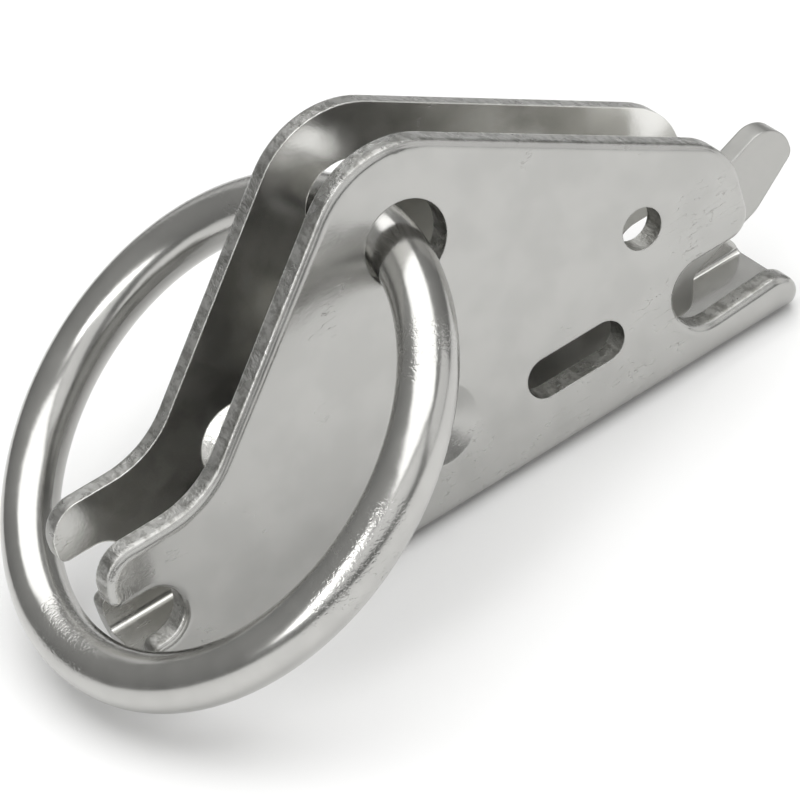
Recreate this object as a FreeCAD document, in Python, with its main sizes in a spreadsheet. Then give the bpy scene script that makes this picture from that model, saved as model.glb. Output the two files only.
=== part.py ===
import FreeCAD, Part
import math
import os
import Sketcher

# Spring-loaded track fitting with a pull ring.  All lengths are in millimetres.
# Frame: origin on the underside of the folded body, midway along it and midway between its
# two side plates.  +X runs towards the thumb tab, +Y across the plates and +Z up, away from
# the track that the fitting locks into.

V = FreeCAD.Vector

# ---------------------------------------------------------------- driving dimensions
DIMENSIONS = {
    # folded sheet-steel body
    "body_width": 12.0,
    "sheet_thickness": 2.2,
    "bend_radius": 3.3,
    "inner_bend_radius": 0.5,
    "jaw_end_x": -33.2,
    "lip_end_x": 34.9,
    "lip_top_z": 4.1,
    "lip_tip_z": 4.8,
    "lip_corner_radius": 2.4,
    "jaw_top_z": 5.4,
    "jaw_corner_radius": 0.9,
    "hook_throat_x": -29.15,
    "hook_throat_top_z": 10.9,
    "hook_throat_radius": 2.7,
    "neck_end_x": -35.1,
    "neck_top_z": 15.7,
    "neck_tip_radius": 3.2,
    "neck_corner_radius": 0.9,
    "neck_root_radius": 9.0,
    "latch_throat_x": 22.55,
    "latch_throat_top_z": 10.8,
    "latch_throat_radius": 3.2,
    "nose_x": 32.0,
    "nose_top_radius": 6.5,
    "nose_bottom_radius": 2.4,
    "edge_rollover": 0.85,
    # ring eye and the rounded corner that is concentric with it
    "eye_x": 0.0,
    "eye_z": 28.4,
    "eye_radius": 4.0,
    "eye_corner_radius": 9.1,
    "top_slope": 31.2,
    "left_slope": 47.0,
    # holes through both plates
    "pilot_x": 21.4,
    "pilot_z": 17.1,
    "pilot_radius": 2.0,
    "window_x": 11.9,
    "window_z": 8.65,
    "window_radius": 2.0,
    "window_half_span": 3.13,
    # inward dimples: a pair that seats the spring, and one more on the far plate
    "seat_x": -2.3,
    "seat_z": 10.2,
    "seat_depth": 3.2,
    "seat_tip_radius": 3.2,
    "stop_x": -16.1,
    "stop_z": 12.4,
    "stop_depth": 2.0,
    "stop_tip_radius": 2.2,
    "recess_depth": 0.9,
    "dimple_radius": 4.0,
    "dimple_floor_radius": 1.8,
    "dimple_tip_rounding": 0.6,
    # sliding keeper plate, corner by corner
    "keeper_thickness": 2.2,
    "keeper_bottom_z": 3.0,
    "heel_x": 26.4,
    "chin_x": 27.4,
    "chin_z": 6.1,
    "tab_low_x": 35.2,
    "tab_low_z": 8.8,
    "tab_tip_x": 40.1,
    "tab_tip_z": 12.3,
    "tab_top_x": 39.7,
    "tab_top_z": 16.8,
    "waist_x": 23.0,
    "waist_z": 10.6,
    "shoulder_back_x": 20.8,
    "shoulder_front_x": 18.0,
    "shoulder_top_z": 13.6,
    "finger_end_x": 8.6,
    "finger_top_z": 12.3,
    "finger_low_z": 8.9,
    "rail_top_z": 7.1,
    "rail_step_x": 8.3,
    "tongue_top_z": 4.5,
    "lug_right_x": -5.68,
    "lug_left_x": -9.0,
    "lug_top_z": 11.0,
    "tab_tip_radius": 2.6,
    "tab_low_radius": 3.0,
    "waist_radius": 1.2,
    # coil spring on the keeper's finger
    "spring_wire_radius": 0.42,
    "spring_mean_radius": 2.88,
    "spring_start_x": 2.1,
    "spring_length": 15.4,
    "spring_pitch": 2.05,
    "spring_axis_z": 10.6,
    # pull ring
    "ring_wire_radius": 2.6,
    "ring_mean_radius": 22.0,
    "ring_droop": 32.1,
    "ring_tilt": 3.5,
    "ring_offset": 0.85,
}


def degrees(name):
    return math.radians(DIMENSIONS[name])


def apex():
    """Where the sloping top edge and the sloping left edge would meet, before rounding."""
    normal_top = math.pi / 2 - degrees("top_slope")
    normal_left = math.pi / 2 + degrees("left_slope")
    middle = (normal_top + normal_left) / 2
    reach = DIMENSIONS["eye_corner_radius"] / math.cos((normal_left - normal_top) / 2)
    return reach * math.cos(middle), DIMENSIONS["eye_z"] + reach * math.sin(middle)


def derived_dimensions():
    """Places that follow from the driving dimensions."""
    apex_x, apex_z = apex()
    nose_top_z = apex_z - (DIMENSIONS["nose_x"] - apex_x) * math.tan(degrees("top_slope"))
    neck_root_x = apex_x - (apex_z - DIMENSIONS["neck_top_z"]) / math.tan(degrees("left_slope"))
    ring_reach = math.sqrt(
        DIMENSIONS["ring_mean_radius"] ** 2
        - (DIMENSIONS["body_width"] / 2 - DIMENSIONS["sheet_thickness"] / 2) ** 2
    ) + DIMENSIONS["ring_offset"]
    inner_y = DIMENSIONS["body_width"] / 2 - DIMENSIONS["sheet_thickness"]
    return {
        "apex_x": apex_x,
        "apex_z": apex_z,
        "near_inner_y": -inner_y,
        "far_inner_y": inner_y,
        "roof_z": apex_z + DIMENSIONS["sheet_thickness"],
        "window_back_x": DIMENSIONS["window_x"] - DIMENSIONS["window_half_span"],
        "window_front_x": DIMENSIONS["window_x"] + DIMENSIONS["window_half_span"],
        "nose_top_z": nose_top_z,
        "neck_root_x": neck_root_x,
        "ring_centre_x": -ring_reach * math.cos(degrees("ring_droop")),
        "ring_centre_z": DIMENSIONS["eye_z"] - ring_reach * math.sin(degrees("ring_droop")),
        "base_z": 0.0,
    }


# ---------------------------------------------------------------- document and sheet
doc = FreeCAD.newDocument("track_fitting")
sheet = doc.addObject("Spreadsheet::Sheet", "sheet")
VALUES = dict(DIMENSIONS)
VALUES.update(derived_dimensions())
for row, (alias, value) in enumerate(VALUES.items(), start=1):
    sheet.set("A%d" % row, alias.replace("_", " "))
    sheet.set("B%d" % row, "%.6f" % value)
    sheet.setAlias("B%d" % row, alias)
doc.recompute()


# ---------------------------------------------------------------- helpers
def origin_plane(body, role):
    return next(item for item in body.Origin.OriginFeatures if item.Role == role)


def new_body(name):
    body = doc.addObject("PartDesign::Body", name)
    body.Label = name
    doc.recompute()
    return body


def upright_sketch(body, name, plane="XZ_Plane"):
    """A sketch whose y is the part's Z, and whose x is its X, or its Y in the YZ plane."""
    sketch = body.newObject("Sketcher::SketchObject", name)
    sketch.AttachmentSupport = [(origin_plane(body, plane), "")]
    sketch.MapMode = "FlatFace"
    return sketch


def bind(sketch, alias, kind, *where):
    """Adds a dimension to a sketch and ties it to a cell of the sheet."""
    index = sketch.addConstraint(Sketcher.Constraint(kind, *where, VALUES[alias]))
    sketch.setExpression("Constraints[%d]" % index, "sheet.%s" % alias)


def bind_point(sketch, geometry, position, x_alias, z_alias):
    """Ties one point of a sketch to two cells of the sheet."""
    bind(sketch, x_alias, "DistanceX", -1, 1, geometry, position)
    bind(sketch, z_alias, "DistanceY", -1, 1, geometry, position)


def outline(body, name, corners, plane="XZ_Plane"):
    """A closed polygon whose corners are pairs of sheet aliases."""
    sketch = upright_sketch(body, name, plane)
    points = [V(VALUES[x_alias], VALUES[z_alias], 0) for x_alias, z_alias in corners]
    count = len(points)
    for index in range(count):
        sketch.addGeometry(Part.LineSegment(points[index], points[(index + 1) % count]))
    for index in range(count):
        sketch.addConstraint(Sketcher.Constraint("Coincident", index, 2, (index + 1) % count, 1))
    for index, (x_alias, z_alias) in enumerate(corners):
        bind_point(sketch, index, 1, x_alias, z_alias)
    return sketch


def pad_both_ways(body, sketch, name, width_expression):
    pad = body.newObject("PartDesign::Pad", name)
    pad.Profile = sketch
    pad.Midplane = True
    pad.setExpression("Length", width_expression)
    doc.recompute()
    return pad


def cross_edges(shape, x_alias, z_alias):
    """Names of the edges that run along Y through the given corner of the outline."""
    found = []
    for number, edge in enumerate(shape.Edges, start=1):
        first, last = edge.Vertexes[0].Point, edge.Vertexes[-1].Point
        along_y = abs(first.x - last.x) < 1e-4 and abs(first.z - last.z) < 1e-4
        at_corner = abs(first.x - VALUES[x_alias]) < 1e-3 and abs(first.z - VALUES[z_alias]) < 1e-3
        if along_y and at_corner:
            found.append("Edge%d" % number)
    return found


def round_edges(body, name, edge_names, radius_alias):
    if not edge_names:
        raise RuntimeError("%s found no edge to round" % name)
    base = body.Tip
    fillet = body.newObject("PartDesign::Fillet", name)
    fillet.Base = (base, edge_names)
    fillet.setExpression("Radius", "sheet.%s" % radius_alias)
    doc.recompute()
    return fillet


def round_corners(body, name, corners, radius_alias):
    """Rounds corners of the outline; all of them get the same radius."""
    shape = body.Tip.Shape
    names = [edge for x_alias, z_alias in corners for edge in cross_edges(shape, x_alias, z_alias)]
    return round_edges(body, name, names, radius_alias)


def pocket_through(body, sketch, name):
    """Cuts a sketch right through the body, both ways from its plane."""
    before = body.Shape.Volume
    pocket = body.newObject("PartDesign::Pocket", name)
    pocket.Profile = sketch
    pocket.Type = "ThroughAll"
    pocket.Midplane = True
    doc.recompute()
    if body.Shape.Volume >= before:
        raise RuntimeError("%s cuts nothing" % name)
    return pocket


# ---------------------------------------------------------------- folded body
def folded_block(body):
    """The side outline as a solid block of the body's full width."""
    corners = [
        ("apex_x", "apex_z"),
        ("nose_x", "nose_top_z"),
        ("nose_x", "latch_throat_top_z"),
        ("latch_throat_x", "latch_throat_top_z"),
        ("latch_throat_x", "lip_top_z"),
        ("lip_end_x", "lip_tip_z"),
        ("lip_end_x", "base_z"),
        ("jaw_end_x", "base_z"),
        ("jaw_end_x", "jaw_top_z"),
        ("hook_throat_x", "jaw_top_z"),
        ("hook_throat_x", "hook_throat_top_z"),
        ("neck_end_x", "hook_throat_top_z"),
        ("neck_end_x", "neck_top_z"),
        ("neck_root_x", "neck_top_z"),
    ]
    sketch = outline(body, "side_outline", corners)
    return pad_both_ways(body, sketch, "side_block", "sheet.body_width")


def bend_edges(shape, height_alias):
    """The two long edges at that height, where the sheet is folded up."""
    height = VALUES[height_alias]
    names = []
    for number, edge in enumerate(shape.Edges, start=1):
        first, last = edge.Vertexes[0].Point, edge.Vertexes[-1].Point
        at_height = abs(first.z - height) < 1e-6 and abs(last.z - height) < 1e-6
        if at_height and abs(first.x - last.x) > 1:
            names.append("Edge%d" % number)
    return names


def round_outline(body):
    round_corners(body, "eye_corner", [("apex_x", "apex_z")], "eye_corner_radius")
    round_corners(body, "nose_top", [("nose_x", "nose_top_z")], "nose_top_radius")
    round_corners(body, "nose_bottom", [("nose_x", "latch_throat_top_z")], "nose_bottom_radius")
    latch_throat = [("latch_throat_x", "latch_throat_top_z"), ("latch_throat_x", "lip_top_z")]
    round_corners(body, "latch_throat", latch_throat, "latch_throat_radius")
    round_corners(body, "lip_corner", [("lip_end_x", "lip_tip_z")], "lip_corner_radius")
    round_corners(body, "jaw_corner", [("jaw_end_x", "jaw_top_z")], "jaw_corner_radius")
    hook_throat = [("hook_throat_x", "jaw_top_z"), ("hook_throat_x", "hook_throat_top_z")]
    round_corners(body, "hook_throat", hook_throat, "hook_throat_radius")
    round_corners(body, "neck_corner", [("neck_end_x", "hook_throat_top_z")], "neck_corner_radius")
    round_corners(body, "neck_tip", [("neck_end_x", "neck_top_z")], "neck_tip_radius")
    round_corners(body, "neck_root", [("neck_root_x", "neck_top_z")], "neck_root_radius")


def hollow_channel(body):
    """Leaves two side plates and the floor between them, with rounded inner bends."""
    corners = [
        ("far_inner_y", "sheet_thickness"),
        ("far_inner_y", "roof_z"),
        ("near_inner_y", "roof_z"),
        ("near_inner_y", "sheet_thickness"),
    ]
    sketch = outline(body, "channel_section", corners, "YZ_Plane")
    pocket_through(body, sketch, "channel")
    inner_edges = bend_edges(body.Tip.Shape, "sheet_thickness")
    round_edges(body, "inner_bends", inner_edges, "inner_bend_radius")


def round_hole(body, name, x_alias, z_alias, radius_alias):
    sketch = upright_sketch(body, name + "_sketch")
    centre = V(VALUES[x_alias], VALUES[z_alias], 0)
    sketch.addGeometry(Part.Circle(centre, V(0, 0, 1), VALUES[radius_alias]))
    bind(sketch, radius_alias, "Radius", 0)
    bind_point(sketch, 0, 3, x_alias, z_alias)
    return pocket_through(body, sketch, name)


def oblong_window(body):
    """A slot with round ends: two half circles joined by tangent lines."""
    sketch = upright_sketch(body, "window_sketch")
    z, r = VALUES["window_z"], VALUES["window_radius"]
    back, front = VALUES["window_back_x"], VALUES["window_front_x"]
    quarter = math.pi / 2
    front_end = Part.Circle(V(front, z, 0), V(0, 0, 1), r)
    back_end = Part.Circle(V(back, z, 0), V(0, 0, 1), r)
    sketch.addGeometry(Part.ArcOfCircle(front_end, -quarter, quarter))
    sketch.addGeometry(Part.LineSegment(V(front, z + r, 0), V(back, z + r, 0)))
    sketch.addGeometry(Part.ArcOfCircle(back_end, quarter, 3 * quarter))
    sketch.addGeometry(Part.LineSegment(V(back, z - r, 0), V(front, z - r, 0)))
    for index in range(4):
        sketch.addConstraint(Sketcher.Constraint("Tangent", index, 2, (index + 1) % 4, 1))
    sketch.addConstraint(Sketcher.Constraint("Equal", 0, 2))
    bind(sketch, "window_radius", "Radius", 0)
    bind_point(sketch, 0, 3, "window_front_x", "window_z")
    bind_point(sketch, 2, 3, "window_back_x", "window_z")
    return pocket_through(body, sketch, "window")


def dimple(body, name, place, side):
    """Pushes one plate inwards: a boss on its inner face and a recess in its outer face."""
    turn = FreeCAD.Rotation(V(1, 0, 0), 90 * side)
    sign = "" if side > 0 else "-"
    boss = body.newObject("PartDesign::AdditiveCone", name + "_boss")
    recess = body.newObject("PartDesign::SubtractiveCone", name + "_recess")
    inner_face = "(sheet.body_width / 2 - sheet.sheet_thickness)"
    outer_face = "(sheet.body_width / 2)"
    for cone, foot, tip_radius, depth in (
        (boss, inner_face, place + "_tip_radius", place + "_depth"),
        (recess, outer_face, "dimple_floor_radius", "recess_depth"),
    ):
        cone.Placement = FreeCAD.Placement(V(0, 0, 0), turn)
        cone.setExpression("Radius1", "sheet.dimple_radius")
        cone.setExpression("Radius2", "sheet.%s" % tip_radius)
        cone.setExpression("Height", "sheet.%s" % depth)
        cone.setExpression("Placement.Base.x", "sheet.%s_x" % place)
        cone.setExpression("Placement.Base.y", sign + foot)
        cone.setExpression("Placement.Base.z", "sheet.%s_z" % place)
    doc.recompute()


def edges_at_depth(shape, depth):
    """Names of the edges that lie in one of the two planes that far from the middle plane."""
    names = []
    for number, edge in enumerate(shape.Edges, start=1):
        box = edge.BoundBox
        in_plane = abs(abs(box.YMin) - depth) < 1e-3 and box.YMax - box.YMin < 1e-3
        if in_plane and box.ZMin > VALUES["bend_radius"] + 0.01:
            names.append("Edge%d" % number)
    return names


def soften_outer_edges(body):
    """Rolls over the outline's edges on the two outer faces, as punching leaves them."""
    names = edges_at_depth(body.Tip.Shape, VALUES["body_width"] / 2)
    round_edges(body, "edge_rollover", names, "edge_rollover")


def soften_dimple_tips(body, name, depth_alias):
    tip = VALUES["body_width"] / 2 - VALUES["sheet_thickness"] - VALUES[depth_alias]
    names = edges_at_depth(body.Tip.Shape, tip)
    round_edges(body, name, names, "dimple_tip_rounding")


def build_body():
    body = new_body("folded_body")
    folded_block(body)
    round_edges(body, "fold_bends", bend_edges(body.Tip.Shape, "base_z"), "bend_radius")
    round_outline(body)
    hollow_channel(body)
    soften_outer_edges(body)
    round_hole(body, "ring_eye", "eye_x", "eye_z", "eye_radius")
    round_hole(body, "pilot_hole", "pilot_x", "pilot_z", "pilot_radius")
    oblong_window(body)
    dimple(body, "near_seat", "seat", -1)
    dimple(body, "far_seat", "seat", 1)
    dimple(body, "far_stop", "stop", 1)
    soften_dimple_tips(body, "seat_tips", "seat_depth")
    soften_dimple_tips(body, "stop_tip", "stop_depth")
    return body


# ---------------------------------------------------------------- keeper plate
def build_keeper():
    body = new_body("keeper_plate")
    corners = [
        ("lug_left_x", "keeper_bottom_z"),
        ("heel_x", "keeper_bottom_z"),
        ("chin_x", "chin_z"),
        ("tab_low_x", "tab_low_z"),
        ("tab_tip_x", "tab_tip_z"),
        ("tab_top_x", "tab_top_z"),
        ("waist_x", "waist_z"),
        ("shoulder_back_x", "waist_z"),
        ("shoulder_back_x", "shoulder_top_z"),
        ("shoulder_front_x", "shoulder_top_z"),
        ("shoulder_front_x", "finger_top_z"),
        ("finger_end_x", "finger_top_z"),
        ("finger_end_x", "finger_low_z"),
        ("shoulder_front_x", "finger_low_z"),
        ("shoulder_front_x", "rail_top_z"),
        ("rail_step_x", "rail_top_z"),
        ("rail_step_x", "tongue_top_z"),
        ("lug_right_x", "tongue_top_z"),
        ("lug_right_x", "lug_top_z"),
        ("lug_left_x", "lug_top_z"),
    ]
    sketch = outline(body, "keeper_outline", corners)
    pad_both_ways(body, sketch, "keeper_pad", "sheet.keeper_thickness")
    round_corners(body, "tab_tip", [("tab_top_x", "tab_top_z")], "tab_tip_radius")
    round_corners(body, "tab_low", [("tab_low_x", "tab_low_z")], "tab_low_radius")
    ease = [("tab_tip_x", "tab_tip_z"), ("chin_x", "chin_z"), ("heel_x", "keeper_bottom_z"),
            ("lug_right_x", "lug_top_z"), ("lug_left_x", "lug_top_z"),
            ("shoulder_back_x", "shoulder_top_z")]
    round_corners(body, "eased_corners", ease, "waist_radius")
    return body


# ---------------------------------------------------------------- coil spring
def build_spring():
    """A round-wire helix whose axis lies along X, between the seat dimples and the shoulder."""
    body = new_body("coil_spring")
    helix = body.newObject("PartDesign::AdditiveHelix", "coils")
    section = upright_sketch(body, "wire_section")
    axis_z = VALUES["spring_axis_z"]
    centre = V(VALUES["spring_start_x"], axis_z + VALUES["spring_mean_radius"], 0)
    section.addGeometry(Part.Circle(centre, V(0, 0, 1), VALUES["spring_wire_radius"]))
    axis_line = Part.LineSegment(V(0, axis_z, 0), V(VALUES["spring_length"], axis_z, 0))
    section.addGeometry(axis_line, True)
    section.addConstraint(Sketcher.Constraint("Horizontal", 1))
    bind(section, "spring_axis_z", "DistanceY", -1, 1, 1, 1)
    bind(section, "spring_wire_radius", "Radius", 0)
    bind(section, "spring_start_x", "DistanceX", -1, 1, 0, 3)
    bind(section, "spring_mean_radius", "DistanceY", 1, 1, 0, 3)
    doc.recompute()
    helix.Profile = section
    helix.ReferenceAxis = (section, ["Axis0"])
    helix.Mode = 0
    helix.setExpression("Pitch", "sheet.spring_pitch")
    helix.setExpression("Height", "sheet.spring_length")
    doc.recompute()
    return body


# ---------------------------------------------------------------- pull ring
def build_ring():
    ring = doc.addObject("Part::Torus", "pull_ring")
    ring.Label = "pull_ring"
    ring.setExpression("Radius1", "sheet.ring_mean_radius")
    ring.setExpression("Radius2", "sheet.ring_wire_radius")
    centre = "create(<<vector>>; sheet.ring_centre_x; 0; sheet.ring_centre_z)"
    turn = "create(<<rotation>>; 0; -sheet.ring_droop; sheet.ring_tilt)"
    ring.setExpression("Placement", "create(<<placement>>; %s; %s)" % (centre, turn))
    doc.recompute()
    return ring


# ---------------------------------------------------------------- checks and export
def check_document():
    for item in doc.Objects:
        if "Invalid" in item.State or "Error" in item.State:
            raise RuntimeError("%s is in a bad state: %s" % (item.Name, item.State))


def export(parts):
    os.makedirs("parts", exist_ok=True)
    for part in parts:
        shape = part.Shape
        if shape.isNull() or not shape.isValid() or len(shape.Solids) != 1:
            raise RuntimeError("%s is not one valid solid" % part.Label)
        shape.exportStep("parts/%s.step" % part.Label)
        box = shape.BoundBox
        print("%-14s %9.1f mm3  x %.2f..%.2f  y %.2f..%.2f  z %.2f..%.2f" % (
            part.Label, shape.Volume, box.XMin, box.XMax, box.YMin, box.YMax, box.ZMin, box.ZMax))


PARTS = [build_body(), build_keeper(), build_spring(), build_ring()]
doc.recompute()
check_document()
export(PARTS)
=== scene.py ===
import math
import bpy
import bmesh
from mathutils import Matrix, Vector


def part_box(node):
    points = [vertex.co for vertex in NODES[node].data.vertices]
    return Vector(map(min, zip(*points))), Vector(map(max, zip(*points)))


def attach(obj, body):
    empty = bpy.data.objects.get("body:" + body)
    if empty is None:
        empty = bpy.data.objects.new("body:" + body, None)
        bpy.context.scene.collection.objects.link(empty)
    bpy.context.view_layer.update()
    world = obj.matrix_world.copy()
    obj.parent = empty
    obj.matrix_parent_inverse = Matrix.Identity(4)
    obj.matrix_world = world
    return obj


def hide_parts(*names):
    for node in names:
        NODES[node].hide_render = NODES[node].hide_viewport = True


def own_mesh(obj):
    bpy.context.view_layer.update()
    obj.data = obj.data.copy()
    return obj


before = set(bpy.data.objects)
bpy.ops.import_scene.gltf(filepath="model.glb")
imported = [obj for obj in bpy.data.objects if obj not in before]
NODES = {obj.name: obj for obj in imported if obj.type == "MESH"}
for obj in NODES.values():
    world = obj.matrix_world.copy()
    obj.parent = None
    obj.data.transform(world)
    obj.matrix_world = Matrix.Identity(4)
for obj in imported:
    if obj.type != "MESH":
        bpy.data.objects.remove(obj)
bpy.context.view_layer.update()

MM = 0.001

# where the finish changes, and where the painted light and shade change, in the row frame
TORN_ABOVE_Z = 3.6 * MM       # above the folded floor and its bends
INNER_FACE_Y = 3.9 * MM       # just outside the side plates' inner faces
# painted shade between the side plates deepens below the first height and is gone above the second
SHADED_BELOW_Z = 4 * MM
LIT_ABOVE_Z = 10 * MM
# painted light: the keeper is painted bright where the side plates shade it, and darker on the
# exposed tab
COVERED_BELOW_X = 22 * MM     # the keeper, where the side plates hide it
BARE_ABOVE_X = 27 * MM        # the keeper's thumb tab
NEAR_FACE_Y = -0.006          # the outer face of the side plate nearer the camera

# places on the near side plate that are rubbed in use: centre and radius, in metres
RUBBED = [
    ((0.028, NEAR_FACE_Y, 0.0135), 0.0065),    # beside the thumb tab
    ((0.021, NEAR_FACE_Y, 0.0085), 0.004),     # below the pin hole
    ((0.0, NEAR_FACE_Y, 0.0035), 0.006),       # the bottom edge
]
# the soft dish in the near side plate's end, above the hook
DISHED = [((-0.0362, NEAR_FACE_Y, 0.0124), 0.0062)]

# how much each kind of unevenness adds to the height that the bump node reads
GRAIN_HEIGHT = 0.05
SCRATCH_HEIGHT = 0.06
DISH_HEIGHT = 2.5
SPECKLE_HEIGHT = 0.1
TEAR_HEIGHT = 9.0


# ---------------------------------------------------------------- materials
class Graph:
    """A material's node tree, with short ways to add and join nodes."""

    def __init__(self, name):
        self.material = bpy.data.materials.new(name)
        self.material.use_nodes = True
        self.tree = self.material.node_tree
        self.shader = self.tree.nodes["Principled BSDF"]

    def add(self, kind, **values):
        """Adds a node; each value goes to the input of that name, or else to the node's setting."""
        node = self.tree.nodes.new(kind)
        for key, value in values.items():
            if key in node.inputs:
                node.inputs[key].default_value = value
            else:
                setattr(node, key, value)
        return node

    def join(self, output, target):
        self.tree.links.new(output, target)

    def place(self):
        """The shaded point's place in the row frame, in metres."""
        return self.add("ShaderNodeTexCoord").outputs["Object"]

    def axes(self, vector):
        """A vector's X, Y and Z, by name."""
        node = self.add("ShaderNodeSeparateXYZ")
        self.join(vector, node.inputs["Vector"])
        return node.outputs

    def noise(self, scale, detail=3.0, stretch=(1, 1, 1), roughness=0.55):
        """Seamless noise in the row frame; scale is in features per metre."""
        mapping = self.add("ShaderNodeMapping", Scale=stretch)
        self.join(self.place(), mapping.inputs["Vector"])
        node = self.add("ShaderNodeTexNoise", Scale=scale, Detail=detail, Roughness=roughness)
        self.join(mapping.outputs["Vector"], node.inputs["Vector"])
        return node.outputs["Fac"]

    def spread(self, value, low, high, start=0.0, end=1.0):
        """Maps value from start..end to low..high, easing in and held at both ends."""
        node = self.add("ShaderNodeMapRange", interpolation_type="SMOOTHSTEP")
        node.inputs["From Min"].default_value = start
        node.inputs["From Max"].default_value = end
        node.inputs["To Min"].default_value = low
        node.inputs["To Max"].default_value = high
        self.join(value, node.inputs["Value"])
        return node.outputs["Result"]

    def math(self, operation, a, b):
        node = self.add("ShaderNodeMath", operation=operation)
        for slot, value in zip(node.inputs, (a, b)):
            if isinstance(value, (int, float)):
                slot.default_value = value
            else:
                self.join(value, slot)
        return node.outputs["Value"]

    def tint(self, factor, dark, light):
        node = self.add("ShaderNodeMix", data_type="RGBA")
        node.inputs[6].default_value = (*dark, 1)
        node.inputs[7].default_value = (*light, 1)
        self.join(factor, node.inputs[0])
        return node.outputs[2]

    def multiply(self, a, b):
        """The product of two colours."""
        node = self.add("ShaderNodeMix", data_type="RGBA", blend_type="MULTIPLY")
        node.inputs[0].default_value = 1.0
        self.join(a, node.inputs[6])
        self.join(b, node.inputs[7])
        return node.outputs[2]


def cut_mask(g, floor_z):
    """1 on the sheet's cut faces: those that don't face along Y and lie above the folded floor."""
    normal = g.add("ShaderNodeTexCoord").outputs["Normal"]
    across = g.math("ABSOLUTE", g.axes(normal)["Y"], 0)
    edgewise = g.spread(across, 1, 0, 0.35, 0.75)
    above = g.math("GREATER_THAN", g.axes(g.place())["Z"], floor_z)
    return g.math("MULTIPLY", edgewise, above)


def body_painted_light(g):
    """Painted light and shade on the folded body: 1 on the side plates' inner faces high up, a
    painted shade deepening towards the folded floor between the plates, and 0 on the outer faces,
    darkened as a painted reflection of dimmer surroundings."""
    position = g.axes(g.place())
    depth = g.math("ABSOLUTE", position["Y"], 0)
    inside = g.math("LESS_THAN", depth, INNER_FACE_Y)
    lit_share = g.spread(position["Z"], 0.3, 1, SHADED_BELOW_Z, LIT_ABOVE_Z)
    return g.math("MULTIPLY", inside, lit_share)


def keeper_painted_light(g):
    """Painted light on the keeper: 1 where it lies in the side plates' shade, its colour kept bright
    there, fading to 0 on the exposed thumb tab, painted darker.
    """
    return g.spread(g.axes(g.place())["X"], 1, 0, COVERED_BELOW_X, BARE_ABOVE_X)


def zone(g, centre, radius):
    """1 at a place in the row frame, fading to 0 at the given distance."""
    gap = g.add("ShaderNodeVectorMath", operation="DISTANCE")
    g.join(g.place(), gap.inputs[0])
    gap.inputs[1].default_value = centre
    return g.spread(gap.outputs["Value"], 1, 0, radius * 0.4, radius)


def scuffs(g, rubbed):
    """Sparse short scratches: thin ridges of a stretched noise, shown only in a few patches
    and where the part is rubbed in use."""
    ridge = g.noise(520, 3, (0.45, 1, 1.7))
    line = g.spread(g.math("ABSOLUTE", g.math("SUBTRACT", ridge, 0.5), 0), 1, 0, 0.001, 0.009)
    patch = g.spread(g.noise(75, 3), 0, 1, 0.58, 0.66)
    for centre, radius in rubbed:
        patch = g.math("MAXIMUM", patch, zone(g, centre, radius))
    broken = g.spread(g.noise(900, 3), 0, 1, 0.42, 0.6)
    return g.math("MULTIPLY", g.math("MULTIPLY", line, patch), broken)


def dings(g):
    """Clusters of small dents, as on a ring that has knocked against its fitting."""
    patch = g.spread(g.noise(70, 2), 0, 1, 0.57, 0.64)
    return g.math("MULTIPLY", g.spread(g.noise(3200, 2), 0, 1, 0.48, 0.68), patch)


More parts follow.
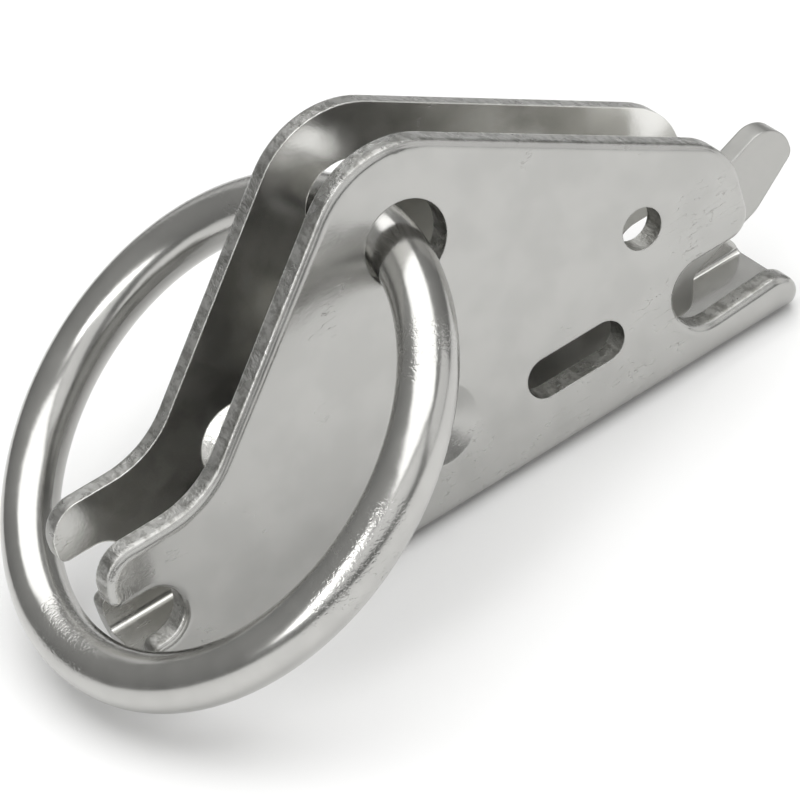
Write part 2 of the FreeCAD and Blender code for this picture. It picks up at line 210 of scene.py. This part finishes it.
def plated(name, colour, roughness, wave=1.0, cut_from=None, rim=0.00012, dented=0.0, rubbed=(),
           dished=(), painted_light=None, painted_shade_factor=1.0):
    """Bright zinc plating: metallic, softly uneven, finely grained and lightly scuffed.

    cut_from is the height above which a sheet's cut faces are torn and rough, rim the width of
    the burnish on every sharp edge, and dented the depth of the small dents. rubbed and dished
    list places by centre and radius. The last two arguments paint light and shade: the first makes
    a mask, and where it is 0 the colour is multiplied by the second."""
    g = Graph(name)
    g.shader.inputs["Metallic"].default_value = 1.0
    blotch = g.noise(230, 4)
    grain = g.noise(3200, 3)
    scratch = scuffs(g, rubbed)
    dark = tuple(c * 0.92 for c in colour)
    base = g.tint(g.spread(blotch, 0, 1, 0.35, 0.65), dark, colour)
    worn = g.tint(g.math("MULTIPLY", scratch, 0.5), (1, 1, 1), (0.45, 0.44, 0.42))
    rough = g.spread(blotch, roughness * 0.85, roughness * 1.2, 0.3, 0.7)
    rough = g.math("ADD", rough, g.math("MULTIPLY", scratch, 0.2))
    height = g.math("ADD", g.noise(140, 2), g.math("MULTIPLY", grain, GRAIN_HEIGHT))
    height = g.math("SUBTRACT", height, g.math("MULTIPLY", scratch, SCRATCH_HEIGHT))
    if dented:
        height = g.math("SUBTRACT", height, g.math("MULTIPLY", dings(g), dented))
    for centre, radius in dished:
        dish = zone(g, centre, radius)
        speckle = g.math("MULTIPLY", g.spread(g.noise(2600, 2), 0, 1, 0.45, 0.65), dish)
        height = g.math("SUBTRACT", height, g.math("MULTIPLY", dish, DISH_HEIGHT))
        height = g.math("ADD", height, g.math("MULTIPLY", speckle, SPECKLE_HEIGHT))
    if cut_from is not None:
        cut = cut_mask(g, cut_from)
        tear = g.noise(1300, 5, (1, 0.5, 1), 0.7)
        torn = g.math("MULTIPLY", tear, cut)
        height = g.math("ADD", height, g.math("MULTIPLY", torn, TEAR_HEIGHT))
        rough = g.math("ADD", rough, g.math("MULTIPLY", cut, 0.06))
        pit = g.math("MULTIPLY", g.spread(tear, 0, 1, 0.42, 0.62), cut)
        base = g.multiply(base, g.tint(pit, (1, 1, 1), (0.6, 0.6, 0.585)))
    # painted light and shade: the colour is multiplied down where the mask is 0
    if painted_light:
        base = g.multiply(base, g.tint(painted_light(g), (painted_shade_factor, painted_shade_factor, painted_shade_factor), (1, 1, 1)))
    g.join(g.multiply(base, worn), g.shader.inputs["Base Color"])
    g.join(rough, g.shader.inputs["Roughness"])
    edge = g.add("ShaderNodeBevel", samples=6)
    edge.inputs["Radius"].default_value = rim
    relief = g.add("ShaderNodeBump", Strength=0.22 * wave, Distance=0.0005)
    g.join(height, relief.inputs["Height"])
    g.join(edge.outputs["Normal"], relief.inputs["Normal"])
    g.join(relief.outputs["Normal"], g.shader.inputs["Normal"])
    return g.material


def paint(name, material):
    mesh = NODES[name].data
    mesh.materials.clear()
    mesh.materials.append(material)


# painted light and shade: the body's outer faces and the floor of its channel are painted darker
paint("folded_body", plated("body_zinc", (0.82, 0.815, 0.79), 0.22, cut_from=TORN_ABOVE_Z,
                            rim=0.0002, rubbed=RUBBED, dished=DISHED,
                            painted_light=body_painted_light, painted_shade_factor=0.58))
# painted light and shade: the keeper's covered part is painted bright and its tab darker
paint("keeper_plate", plated("keeper_zinc", (0.9, 0.895, 0.865), 0.42, rim=0.0003,
                             painted_light=keeper_painted_light, painted_shade_factor=0.54))
paint("pull_ring", plated("ring_zinc", (0.52, 0.516, 0.5), 0.19, wave=0.8, dented=0.16))


# ---------------------------------------------------------------- spring
WIRE_SIDES = 12
STEPS_PER_TURN = 36
OPEN_TURNS = 6.5
CLOSED_TURNS = 1.0
WIRE_RADIUS = 0.42 * MM
CLOSED_PITCH = 2.1 * WIRE_RADIUS     # touching turns, with a hair's breadth between them


def spring_line(length, radius):
    """Points along a compression spring's wire, with one closed turn at each end."""
    turns = OPEN_TURNS + 2 * CLOSED_TURNS
    pitch_open = (length - 2 * CLOSED_TURNS * CLOSED_PITCH) / OPEN_TURNS
    points = []
    for step in range(int(turns * STEPS_PER_TURN) + 1):
        turn = step / STEPS_PER_TURN
        first = min(turn, CLOSED_TURNS)
        last = max(turn - CLOSED_TURNS - OPEN_TURNS, 0)
        along = (first + last) * CLOSED_PITCH + (turn - first - last) * pitch_open
        angle = 2 * math.pi * turn
        points.append(Vector((along, radius * math.cos(angle), radius * math.sin(angle))))
    return points


def make_spring():
    low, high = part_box("coil_spring")
    centre = (low + high) / 2
    length = high.x - low.x
    line = spring_line(length - 2 * WIRE_RADIUS, (high.z - low.z) / 2 - WIRE_RADIUS)
    start = Vector((low.x + WIRE_RADIUS, centre.y, centre.z))
    bm = bmesh.new()
    rings = []
    for index, point in enumerate(line):
        ahead = line[min(index + 1, len(line) - 1)] - line[max(index - 1, 0)]
        outward = Vector((0, point.y, point.z)).normalized()
        side = ahead.normalized().cross(outward).normalized()
        ring = []
        for corner in range(WIRE_SIDES):
            angle = 2 * math.pi * corner / WIRE_SIDES
            offset = outward * math.cos(angle) + side * math.sin(angle)
            ring.append(bm.verts.new(start + point + offset * WIRE_RADIUS))
        rings.append(ring)
    for before, after in zip(rings, rings[1:]):
        for corner in range(WIRE_SIDES):
            following = (corner + 1) % WIRE_SIDES
            bm.faces.new((before[corner], before[following], after[following], after[corner]))
    bm.faces.new(reversed(rings[0]))
    bm.faces.new(rings[-1])
    bmesh.ops.recalc_face_normals(bm, faces=bm.faces)
    for face in bm.faces:
        face.smooth = len(face.verts) == 4
    mesh = bpy.data.meshes.new("coil_spring_wire")
    bm.to_mesh(mesh)
    bm.free()
    mesh.materials.append(plated("spring_steel", (0.8, 0.8, 0.78), 0.25))
    spring = bpy.data.objects.new("coil_spring_wire", mesh)
    bpy.context.collection.objects.link(spring)
    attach(spring, "body")
    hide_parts("coil_spring")
    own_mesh(spring)


make_spring()


# ---------------------------------------------------------------- stage, light and camera
def make_floor():
    bm = bmesh.new()
    bmesh.ops.create_grid(bm, x_segments=1, y_segments=1, size=4.0)
    mesh = bpy.data.meshes.new("floor")
    bm.to_mesh(mesh)
    bm.free()
    floor = bpy.data.objects.new("floor", mesh)
    bpy.context.collection.objects.link(floor)
    g = Graph("floor_white")
    g.shader.inputs["Base Color"].default_value = (0.95, 0.95, 0.95, 1)
    g.shader.inputs["Roughness"].default_value = 0.6
    mesh.materials.append(g.material)


def soft_box(name, place, aim, size, power):
    data = bpy.data.lights.new(name, "AREA")
    data.shape = "RECTANGLE"
    data.size, data.size_y = size
    data.energy = power
    light = bpy.data.objects.new(name, data)
    light.location = place
    light.rotation_euler = (Vector(aim) - Vector(place)).to_track_quat("-Z", "Y").to_euler()
    bpy.context.collection.objects.link(light)


def make_world():
    """A dim grey room that brightens overhead, so that bright metal has dark and light to reflect."""
    world = bpy.data.worlds.new("studio")
    world.use_nodes = True
    tree = world.node_tree
    background = tree.nodes["Background"]
    background.inputs["Color"].default_value = (1, 1, 0.98, 1)
    direction = tree.nodes.new("ShaderNodeTexCoord")
    axes = tree.nodes.new("ShaderNodeSeparateXYZ")
    glow = tree.nodes.new("ShaderNodeMapRange")
    glow.inputs["To Min"].default_value = 0.22
    glow.inputs["To Max"].default_value = 0.45
    tree.links.new(direction.outputs["Generated"], axes.inputs["Vector"])
    tree.links.new(axes.outputs["Z"], glow.inputs["Value"])
    tree.links.new(glow.outputs["Result"], background.inputs["Strength"])
    bpy.context.scene.world = world


def make_lights():
    """Five soft boxes: name, place and size in metres, power in watts."""
    middle = (0, 0, 0.015)
    for name, place, size, power in (
            ("overhead", (0.10, 0.0, 0.62), (1.0, 0.65), 3.9),
            ("left_panel", (-0.50, -0.28, 0.42), (0.2, 0.42), 1.0),
            ("back_panel", (0.25, 0.75, 0.35), (0.8, 0.3), 0.35),
            ("front_panel", (-0.15, -0.60, 0.40), (1.0, 0.4), 0.9),
            ("right_panel", (0.55, -0.40, 0.22), (0.5, 0.4), 0.45)):
        soft_box(name, place, middle, size, power)


def make_camera():
    """The photograph's view: a long lens from the left front, looking down and tilted."""
    place = Vector((-121.18, -297.05, 231.98)) * MM
    aim = Vector((-5.0554, -6.3327, 15.0)) * MM
    roll = math.radians(-18.1903)
    data = bpy.data.cameras.new("camera")
    data.sensor_width = 36
    data.lens = 202.5
    data.clip_start, data.clip_end = 0.01, 20
    camera = bpy.data.objects.new("camera", data)
    level = (aim - place).to_track_quat("-Z", "Y").to_matrix().to_4x4()
    camera.matrix_world = Matrix.Translation(place) @ level @ Matrix.Rotation(roll, 4, "Z")
    bpy.context.collection.objects.link(camera)
    bpy.context.scene.camera = camera


make_floor()
make_world()
make_lights()
make_camera()
bpy.context.scene.view_settings.view_transform = "Standard"
